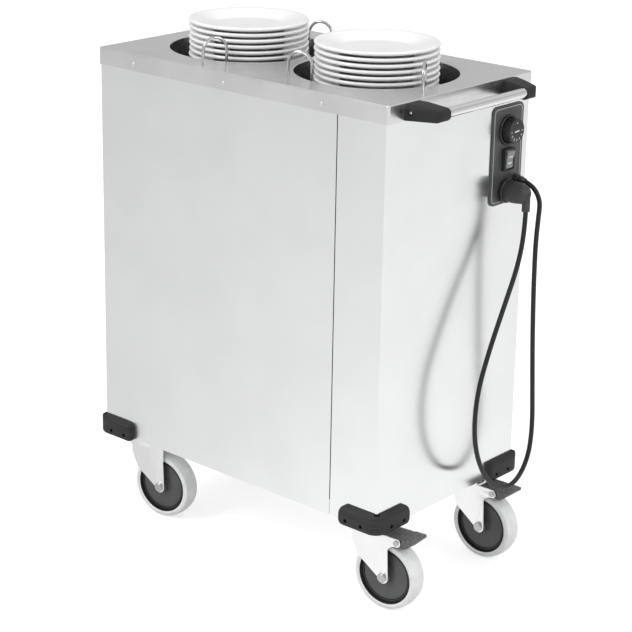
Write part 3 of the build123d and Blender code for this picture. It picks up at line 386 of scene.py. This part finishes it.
# From the middle of the upper side out to the rim, and back along the underside over the foot ring.
plate_profile = ([(0, 0.0104), (0.052, 0.0104), (0.062, 0.0108), (0.067, 0.0122), (0.072, 0.0140),
                  (0.088, 0.0181), (0.100, 0.0209)] + rounded_rim(plate_radius, rim_height, rim_thickness) +
                 [(0.098, 0.0134), (0.082, 0.0090), (0.071, 0.0050), (0.0660, 0.0036), (0.0630, 0.0028),
                  (0.0622, 0.0006), (0.0610, 0.0), (0.0572, 0.0), (0.0562, 0.0006), (0.0556, 0.0040),
                  (0, 0.0042)])
for side, start in (("left", left_stack_start), ("right", 0.0)):
    low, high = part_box("plates_" + side)
    for k in range(plate_count):
        turn = stray_step * k + start
        seat = Matrix.Translation(((low.x + high.x) / 2 + plate_stray * math.cos(turn),
                                   plate_stray * math.sin(stray_skew * turn), low.z + k * plate_pitch))
        plate = turned(f"plate_{side}_{k + 1}", plate_profile, plate_sides, glaze, seat)
        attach(plate, "lift_" + side)
        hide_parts("plates_" + side)

# ---- plate guides ----
# Hoops of bent and polished wire that stand in the top and steady the stacks. Each turns about its outer
# leg, which runs down into a plastic bush under the top.
polished_wire = steel("polished_wire", (0.62, 0.62, 0.63), 0.10, (400, 400, 400), relief=0.0)
for side in ("left", "right"):
    for k in (1, 2, 3):
        finish(f"plate_guide_{side}_{k}", polished_wire)


def moulded_material(name, colour, roughness, grain_size=900.0, relief=0.15, depth=0.0002, spread=0.25,
                     patch_size=18.0, stretch=(1, 1, 1), **sockets):
    """Rubber or plastic out of a mould: its own colour, a fine relief, and patches a little duller.

    spread is how far the patches stray in brightness; a low stretch draws grain and patches out that way.
    """
    dull_spread = 0.15
    material, tree, skin = new_material(name)
    surface = node(tree, "Group", {"Grain size": grain_size, "Patch size": patch_size, "Stretch": stretch},
                   node_tree=moulded)
    patches = surface.outputs["Patches"]
    dull = colour_ramp(tree, patches, (0.3, roughness * (1 - dull_spread)),
                       (0.7, min(1, roughness * (1 + dull_spread))))
    feed(tree, skin, {"Base Color": colour_ramp(tree, patches, *shades(colour, spread)), "Roughness": dull})
    feed(tree, skin, {label.replace("_", " "): value for label, value in sockets.items()})
    add_relief(tree, skin, surface.outputs["Grain"], relief, depth)
    return material


black_plastic = moulded_material("black_plastic", (0.03, 0.03, 0.032), 0.4)
finish("guide_bushes", black_plastic)

# ---- corner bumpers ----
# Thick guards moulded in black rubber, one round each lower corner of the cabinet. Each is held by four
# screws, sunk in round recesses.
bumper_rubber = moulded_material("bumper_rubber", (0.023, 0.023, 0.025), 0.55, grain_size=420, relief=0.6,
                                 spread=0.4, patch_size=170, stretch=(0.08, 0.08, 1), Specular_IOR_Level=0.4)
finish("bumpers", bumper_rubber)
finish("bumper_screws", steel("blackened_screw", (0.10, 0.10, 0.10), 0.35, (300, 300, 300)))

# ---- handle ----
# A drawn steel bar held between two black moulded brackets that wrap the cabinet's corners. One small
# round-headed screw fixes each bracket near the wall, through its sloping flank.
handle_plastic = moulded_material("handle_plastic", (0.021, 0.021, 0.022), 0.6, grain_size=800, relief=0.25,
                                  Specular_IOR_Level=0.35)
# Where a screw goes through the flank: how far out, aside and up; its seat lies a little deeper.
screw_out, screw_aside, screw_height, screw_sunk = 0.34385 + cabinet_x, 0.15143, 0.883, 0.004
flank_slope = math.atan2(0.056, 0.025)
screw_sides = 32
screw_head = [(0, 0.0022), (0.0008, 0.0022), (0.0009, 0.0016), (0.0016, 0.0017), (0.0026, 0.0014),
              (0.0033, 0.0008), (0.0034, 0.0), (0, 0)]
for end, side in (("far", 1), ("near", -1)):
    finish("handle_bracket_" + end, handle_plastic)
    outward = Vector((math.cos(flank_slope), side * math.sin(flank_slope), 0))
    seat = Vector((screw_out, side * screw_aside, screw_height)) - screw_sunk * outward
    screw = turned("handle_screw_" + end, screw_head, screw_sides, bright_steel,
                   Matrix.Translation(seat) @ outward.to_track_quat("Z", "Y").to_matrix().to_4x4())
    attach(screw, "cabinet")
finish("handle_grip", steel("drawn_bar", (0.90, 0.90, 0.91), 0.12, (400, 5, 400), relief=0.02))

# ---- control plate ----
# A dark moulded plate that lies on the handle end, with a thin light line round its edge. The knob, the
# rocker, the cord gland and the plug's parking socket sit on it.
panel_low, panel_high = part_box("control_plate")
panel_width, panel_height = panel_high.y - panel_low.y, panel_high.z - panel_low.z
panel_face = panel_high.x
panel_middle = (panel_low.y + panel_high.y) / 2
panel_centre_z = (panel_low.z + panel_high.z) / 2
line_in, line_width, line_corner, mark_thickness = 0.0041, 0.0018, 0.009, 0.0002
# The radii of eased edges on small pieces and on larger ones.
fine_edge, broad_edge = 0.0006, 0.0008
panel_plastic = moulded_material("panel_plastic", (0.075, 0.077, 0.08), 0.45, grain_size=1000)
light_print = moulded_material("light_print", (0.42, 0.42, 0.41), 0.5, grain_size=1500, spread=0.04)


def ease_edges(piece, width, segments, angle):
    """Rounds the edges that are sharper than an angle in degrees."""
    ease = piece.modifiers.new("ease", "BEVEL")
    ease.width, ease.segments = width, segments
    ease.limit_method, ease.angle_limit = "ANGLE", math.radians(angle)
    return ease


def rounded(name, width, material, body, segments=3):
    """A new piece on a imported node's form with its edges eased to a small radius, as moulded or tumbled."""
    weld_distance, flat_angle = 1e-6, math.radians(1)
    mesh = nodes[name].data.copy()
    mesh.name = name + "_eased"
    piece = add_object(name + "_eased", mesh)
    shape = bmesh.new()
    shape.from_mesh(mesh)
    bmesh.ops.remove_doubles(shape, verts=shape.verts, dist=weld_distance)
    bmesh.ops.dissolve_limit(shape, angle_limit=flat_angle, verts=shape.verts, edges=shape.edges)
    bmesh.ops.recalc_face_normals(shape, faces=shape.faces)
    shape.to_mesh(mesh)
    shape.free()
    mesh.materials.clear()
    mesh.materials.append(material)
    mesh.polygons.foreach_set("use_smooth", [True] * len(mesh.polygons))
    ease_edges(piece, width, segments, angle=30).harden_normals = True
    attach(piece, body)
    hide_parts(name)
    return piece


def add_prism(shape, outlines, start, end, place=Matrix()):
    """Adds a closed prism that runs from start to end along place's first axis, from loops across it.

    With two loops the second is the hole in the first, and both have as many points.
    """
    rings = []
    for height in (start, end):
        rings.append([[shape.verts.new(place @ Vector((height, *point))) for point in loop]
                      for loop in outlines])
    for low, high in zip(*rings):
        for k in range(len(low)):
            after = (k + 1) % len(low)
            shape.faces.new((low[k], low[after], high[after], high[k]))
    for level in rings:
        if len(level) == 1:
            shape.faces.new(level[0])
        else:
            outer, inner = level
            for k in range(len(outer)):
                after = (k + 1) % len(outer)
                shape.faces.new((outer[k], outer[after], inner[after], inner[k]))


def printed_mark(name, outlines, place, material, body):
    """A mark that faces out of the handle end, from loops of (aside, up) points about its middle."""
    shape = bmesh.new()
    add_prism(shape, outlines, 0.0, mark_thickness)
    piece = add_piece(name, shape, material, place)
    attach(piece, body)


def rounded_loop(width, height, corner, steps=8):
    """A rectangle with round corners, as (aside, up) points about its middle."""
    points = []
    for quarter, (sx, sy) in enumerate(((1, 1), (-1, 1), (-1, -1), (1, -1))):
        for k in range(steps + 1):
            angle = math.pi / 2 * (quarter + k / steps)
            points.append((sx * (width / 2 - corner) + corner * math.cos(angle),
                           sy * (height / 2 - corner) + corner * math.sin(angle)))
    return points


rounded("control_plate", broad_edge, panel_plastic, "cabinet", segments=2)
line_loops = [rounded_loop(panel_width - 2 * edge, panel_height - 2 * edge, corner)
              for edge, corner in ((line_in, line_corner), (line_in + line_width, line_corner - line_width))]
printed_mark("panel_line", line_loops, Matrix.Translation((panel_face, panel_middle, panel_centre_z)),
             light_print, "cabinet")

# ---- temperature knob and thermostat ----
# A round fluted knob of black plastic in a raised bezel, pushed on the spindle of the thermostat behind
# the plate. White figures run round the lower half of its face, below a dot, with a dash in the middle.
dot_size, dot_rise = 0.0022, 0.0145
dash_length, dash_width, dash_tilt, dash_corner = 0.013, 0.0024, math.radians(5), 0.0011
figure_circle, figure_size, figure_weight = 0.0148, 0.0054, 0.00012
figure_start, figure_step = 60, 30
white_print = moulded_material("white_print", (0.85, 0.85, 0.84), 0.5, grain_size=1500, spread=0.04)
rounded("knob_bezel", broad_edge, black_plastic, "cabinet")
finish("thermostat", black_plastic)
finish("thermostat_spindle", bright_steel)
rounded("temperature_knob", fine_edge, black_plastic, "knob")
knob_low, knob_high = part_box("temperature_knob")
knob_face = Matrix.Translation((knob_high.x, (knob_low.y + knob_high.y) / 2, (knob_low.z + knob_high.z) / 2))
printed_mark("knob_dot", [rounded_loop(dot_size, dot_size, dot_size / 2)],
             knob_face @ Matrix.Translation((0, 0, dot_rise)), white_print, "knob")
printed_mark("knob_dash", [rounded_loop(dash_length, dash_width, dash_corner)],
             knob_face @ Matrix.Rotation(dash_tilt, 4, "X"), white_print, "knob")
# Lettering is made flat on the ground; this stands it up to face out of the handle end.
standing = placing((0, 1, 0), (0, 0, 1), (1, 0, 0))
figures = bmesh.new()
for figure in range(1, 8):
    lettering = bpy.data.curves.new("figure", "FONT")
    lettering.body, lettering.size, lettering.offset = str(figure), figure_size, figure_weight
    lettering.align_x, lettering.align_y = "CENTER", "CENTER"
    lettering.extrude, lettering.resolution_u = mark_thickness / 2, 2
    flat = bpy.data.objects.new("figure", lettering)
    solid = bpy.data.meshes.new_from_object(flat)
    turn = Matrix.Rotation(math.radians(figure_start + figure_step * figure), 4, "X")
    solid.transform(knob_face @ turn @ Matrix.Translation((mark_thickness / 2, 0, figure_circle)) @ standing)
    figures.from_mesh(solid)
    bpy.data.objects.remove(flat)
    bpy.data.curves.remove(lettering)
figure_mesh = bpy.data.meshes.new("knob_figures")
figures.to_mesh(figure_mesh)
figures.free()
figure_mesh.materials.append(white_print)
knob_figures = add_object("knob_figures", figure_mesh)
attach(knob_figures, "knob")

# ---- rocker switch ----
# A light grey rocker that clips into a black frame and tips about a pivot at the plate's surface, with a
# light bar printed on each half. Its face is a shallow valley.
rocker_tilt, rocker_valley, rocker_rise = math.radians(8), 0.007, 4.4 / 34
bar_place, bar_length, bar_width, bar_corner = 0.0056, 0.011, 0.0024, 0.0008
rocker_plastic = moulded_material("rocker_plastic", (0.26, 0.265, 0.265), 0.25, grain_size=1500, spread=0.05)
rounded("switch_frame", broad_edge, black_plastic, "cabinet")
rounded("switch_rocker", broad_edge, rocker_plastic, "rocker")
rocker_low, rocker_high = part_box("switch_rocker")
rocker_pivot = Matrix.Translation((panel_face, panel_middle, (rocker_low.z + rocker_high.z) / 2))
for label, side in (("upper", 1), ("lower", -1)):
    half = Matrix.Translation((rocker_valley + rocker_rise * bar_place, 0, side * bar_place))
    lean = Matrix.Rotation(side * math.atan(rocker_rise), 4, "Y")
    printed_mark("rocker_mark_" + label, [rounded_loop(bar_length, bar_width, bar_corner)],
                 rocker_pivot @ Matrix.Rotation(rocker_tilt, 4, "Y") @ half @ lean, white_print, "rocker")

# ---- cord gland, parked plug and its dead socket ----
# Black moulded pieces on the control plate: a hexagonal gland with a tapered sleeve, and a round cup
# that holds the angled plug when the cart isn't in use.
plug_edge = 0.0012
plug_rubber = moulded_material("plug_rubber", (0.047, 0.047, 0.050), 0.5, grain_size=700, relief=0.25)
gland_plastic = moulded_material("gland_plastic", (0.03, 0.03, 0.032), 0.35, grain_size=1200)
sleeve_plastic = moulded_material("sleeve_plastic", (0.04, 0.04, 0.043), 0.16, grain_size=1200, relief=0.05,
                                  Coat_Weight=1.0, Coat_Roughness=0.08)
gland = rounded("cord_gland", fine_edge, sleeve_plastic, "cabinet")
plug = rounded("power_plug", plug_edge, plug_rubber, "cabinet")
rounded("parking_socket", fine_edge, gland_plastic, "cabinet")

# ---- mains cord ----
# A round rubber lead, closed at both ends: it comes out of the gland on the control plate, hangs in one
# long loop in front of the handle end, and runs up to its own plug, which is parked in the dead socket.
cord_diameter = 0.0085
cart_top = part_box("top_pan")[1].z
cord_out = 0.0572
# Each point is how far out from the control plate's face, how far aside of its middle line and how far
# below the cart's top.
cord_points = [
    (0.02286, 0.026, 0.18535),
    (0.03497, 0.026, 0.18952),
    (0.0456, 0.0256, 0.1972),
    (0.0531, 0.025, 0.2078),
    (cord_out, 0.024, 0.220),
    (cord_out, 0.021, 0.245),
    (cord_out, 0.017, 0.288),
    (cord_out, 0.018, 0.365),
    (cord_out, 0.023, 0.460),
    (cord_out, 0.031, 0.555),
    (cord_out, 0.038, 0.638),
    (cord_out, 0.028, 0.697),
    (cord_out, -0.012, 0.733),
    (cord_out, -0.068, 0.720),
    (cord_out, -0.114, 0.672),
    (0.0562, -0.138, 0.604),
    (0.0552, -0.133, 0.528),
    (0.0542, -0.104, 0.460),
    (0.0532, -0.064, 0.388),
    (0.0502, -0.021, 0.318),
    (0.0452, -0.0005, 0.262),
    (0.0452, -0.0005, 0.229),
]
cord_route = [(panel_face + out, panel_middle + aside, cart_top - drop) for out, aside, drop in cord_points]
# The points carry the cord's own radius, so the curve's bevel is one.
cord_curve = bpy.data.curves.new("mains_cord", "CURVE")
cord_curve.dimensions = "3D"
cord_line = cord_curve.splines.new("NURBS")
cord_line.points.add(len(cord_route) - 1)
for point, (x, y, z) in zip(cord_line.points, cord_route):
    point.co = (x, y, z, 1)
    point.radius = cord_diameter / 2
cord_line.order_u = 3
cord_line.use_endpoint_u = True
cord_line.resolution_u = 12
cord_curve.bevel_depth = 1.0
cord_curve.bevel_resolution = 5
cord_curve.use_fill_caps = True
cord_rubber = moulded_material("cord_rubber", (0.018, 0.018, 0.019), 0.45, grain_size=1500,
                               Specular_IOR_Level=0.4)
cord_curve.materials.append(cord_rubber)
cord = add_object("mains_cord", cord_curve)
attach(cord, "cabinet")
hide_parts("power_cord")

# ---- caster plates and forks ----
# Four swivel forks pressed from steel and zinc plated, each hung from a plate bolted under the tray. Thick
# axle bolts cross the forks' legs.
caster_corners = ("near_handle", "far_handle", "near_tail", "far_tail")
zinc = steel("bright_zinc", (0.97, 0.97, 0.98), 0.28, (20, 20, 20), relief=0.0, streak=0.02, clouds=0.06)
dull_zinc = steel("dull_zinc", (0.52, 0.52, 0.53), 0.32, (60, 60, 60), relief=0.0, streak=0.03)
finish("caster_plates", zinc)
finish("caster_bolts", dull_zinc)
for corner in caster_corners:
    rounded("fork_" + corner, fine_edge, zinc, "caster_" + corner, segments=2)
    finish("axle_" + corner, dull_zinc)

# ---- wheels ----
# Dark plastic centres with pale grey tyres moulded round them. A centre is a hub with a flat disc sunk
# round it, and a darker rim with one fine bead, alike on both faces. The bead keeps the centre's lighter
# plastic as a painted highlight line.
disc_radius, bead_start, bead_end, wheel_sides = 0.0437, 0.0455, 0.0464, 96
sharp_bend = math.radians(30)
half_wheel = [(0.00605, 0.0207), (0.0125, 0.0207), (0.0130, 0.0202), (0.0130, 0.0118), (0.0138, 0.0110),
              (disc_radius, 0.0110), (0.0441, 0.0100), (0.0450, 0.0100), (bead_start, 0.0114),
              (bead_end, 0.0114), (0.0469, 0.0104), (0.0490, 0.0108), (0.0500, 0.0158), (0.0504, 0.0165),
              (0.0515, 0.0165)]
wheel_profile = half_wheel + [(radius, -height) for radius, height in reversed(half_wheel)]
wheel_plastic = moulded_material("wheel_plastic", (0.080, 0.081, 0.083), 0.45, grain_size=700)
rim_plastic = moulded_material("rim_plastic", (0.016, 0.016, 0.017), 0.5, grain_size=900,
                               Specular_IOR_Level=0.35)
tyre_grey = moulded_material("tyre_grey", (0.84, 0.845, 0.845), 0.5, grain_size=260, relief=0.25,
                             spread=0.07, patch_size=60)
joints = {joint["name"]: joint for joint in frame["record"]["behaviour"]["joints"]}
for corner in caster_corners:
    roll = joints["roll_" + corner]
    wheel = turned("wheel_centre_" + corner, wheel_profile, wheel_sides, wheel_plastic)
    wheel.data.materials.append(rim_plastic)
    # The rim takes the darker plastic, all but the bead, which stays lighter as a painted highlight line.
    for face in wheel.data.polygons:
        out = face.center.xy.length
        if out > disc_radius and not bead_start < out < bead_end:
            face.material_index = 1
    wheel.data.set_sharp_from_angle(angle=sharp_bend)
    wheel.data.transform(Matrix.Translation(roll["pos_m"])
                         @ Vector(roll["axis"]).to_track_quat("Z", "Y").to_matrix().to_4x4())
    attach(wheel, "rolling_wheel_" + corner)
    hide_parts("wheel_" + corner)
    finish("tyre_" + corner, tyre_grey)

# ---- brake pedals ----
# Black moulded toe pedals on pins through the two handle-end forks. The tread is a ribbed tongue between
# the fork's arms that spreads in front of their noses, with a wedge and a brake shoe under it.
# Places are measured from the pin: forwards, along the pin, and up.
tread_back, tread_reach, tread_half, tongue_half, tongue_end = -0.027, 0.034, 0.023, 0.0204, 0.0100
tread_low, tread_top, tread_corner, corner_steps = 0.0045, 0.0085, 0.004, 6
rib_half, rib_inset, rib_foot, rib_top, rib_count = 0.0011, 0.003, 0.0075, 0.0094, 7
wedge_half, shoe_half, pedal_edge = 0.022, 0.016, 0.0004
wedge_outline = [(0.0100, 0.0050), (0.0100, -0.0025), (0.0130, -0.0045), (0.0200, -0.0060),
                 (0.0240, -0.0030), (0.0330, 0.0050)]
shoe_outline = [(0.004, 0.0050), (0.004, -0.0105), (0.0055, -0.0120), (0.0125, -0.0120), (0.0150, -0.0040),
                (0.0150, 0.0050)]
tread_outline = [(tread_back, -tongue_half), (tongue_end, -tongue_half), (tongue_end, -tread_half)]
for side, first in ((-1, -90), (1, 0)):
    for k in range(corner_steps + 1):
        angle = math.radians(first + 90 * k / corner_steps)
        tread_outline.append((tread_reach - tread_corner + tread_corner * math.cos(angle),
                              side * (tread_half - tread_corner) + tread_corner * math.sin(angle)))
tread_outline += [(tongue_end, tread_half), (tongue_end, tongue_half), (tread_back, tongue_half)]
rib_middles = [tread_back + rib_inset + k * (tread_reach - tread_back - 2 * rib_inset) / (rib_count - 1)
               for k in range(rib_count)]
# The lugs that hold the pin are round below and square above, where they run into the tread.
lug_round, lug_top, lug_inner, lug_outer, lug_sides, pin_hole = 0.0075, 0.0075, 0.0127, 0.0204, 24, 0.00305
lug_outline, lug_hole = [], []
for k in range(lug_sides):
    cosine, sine = math.cos(2 * math.pi * k / lug_sides), math.sin(2 * math.pi * k / lug_sides)
    reach = lug_round if sine <= 0 else min(lug_round / max(abs(cosine), 1e-6), lug_top / sine)
    lug_outline.append((reach * cosine, reach * sine))
    lug_hole.append((pin_hole * cosine, pin_hole * sine))
# A prism runs along its first axis: up for the tread and its ribs, along the pin for the rest.
upwards_first = placing((0, 0, 1), (1, 0, 0), (0, 1, 0))
sideways_first = placing((0, 1, 0), (1, 0, 0), (0, 0, 1))
pedal_plastic = moulded_material("pedal_plastic", (0.13, 0.13, 0.133), 0.5, grain_size=420, relief=0.6,
                                 spread=0.45, patch_size=260)
for corner in ("near_handle", "far_handle"):
    press = joints["press_pedal_" + corner]
    along = Vector(press["axis"])
    forwards = along.cross(Vector((0, 0, 1)))
    shape = bmesh.new()
    add_prism(shape, [tread_outline], tread_low, tread_top, upwards_first)
    for middle in rib_middles:
        rib = [(middle + x * rib_half, y * (tongue_half - rib_inset))
               for x, y in ((-1, -1), (1, -1), (1, 1), (-1, 1))]
        add_prism(shape, [rib], rib_foot, rib_top, upwards_first)
    add_prism(shape, [wedge_outline], -wedge_half, wedge_half, sideways_first)
    add_prism(shape, [shoe_outline], -shoe_half, shoe_half, sideways_first)
    for start, end in ((-lug_outer, -lug_inner), (lug_inner, lug_outer)):
        add_prism(shape, [lug_outline, lug_hole], start, end, sideways_first)
    pedal = add_piece("toe_pedal_" + corner, shape, pedal_plastic,
                      placing(forwards, along, (0, 0, 1), press["pos_m"]))
    ease_edges(pedal, pedal_edge, segments=2, angle=40)
    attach(pedal, "pedal_" + corner)
    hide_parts("brake_pedal_" + corner)
    finish("pedal_pin_" + corner, dull_zinc)
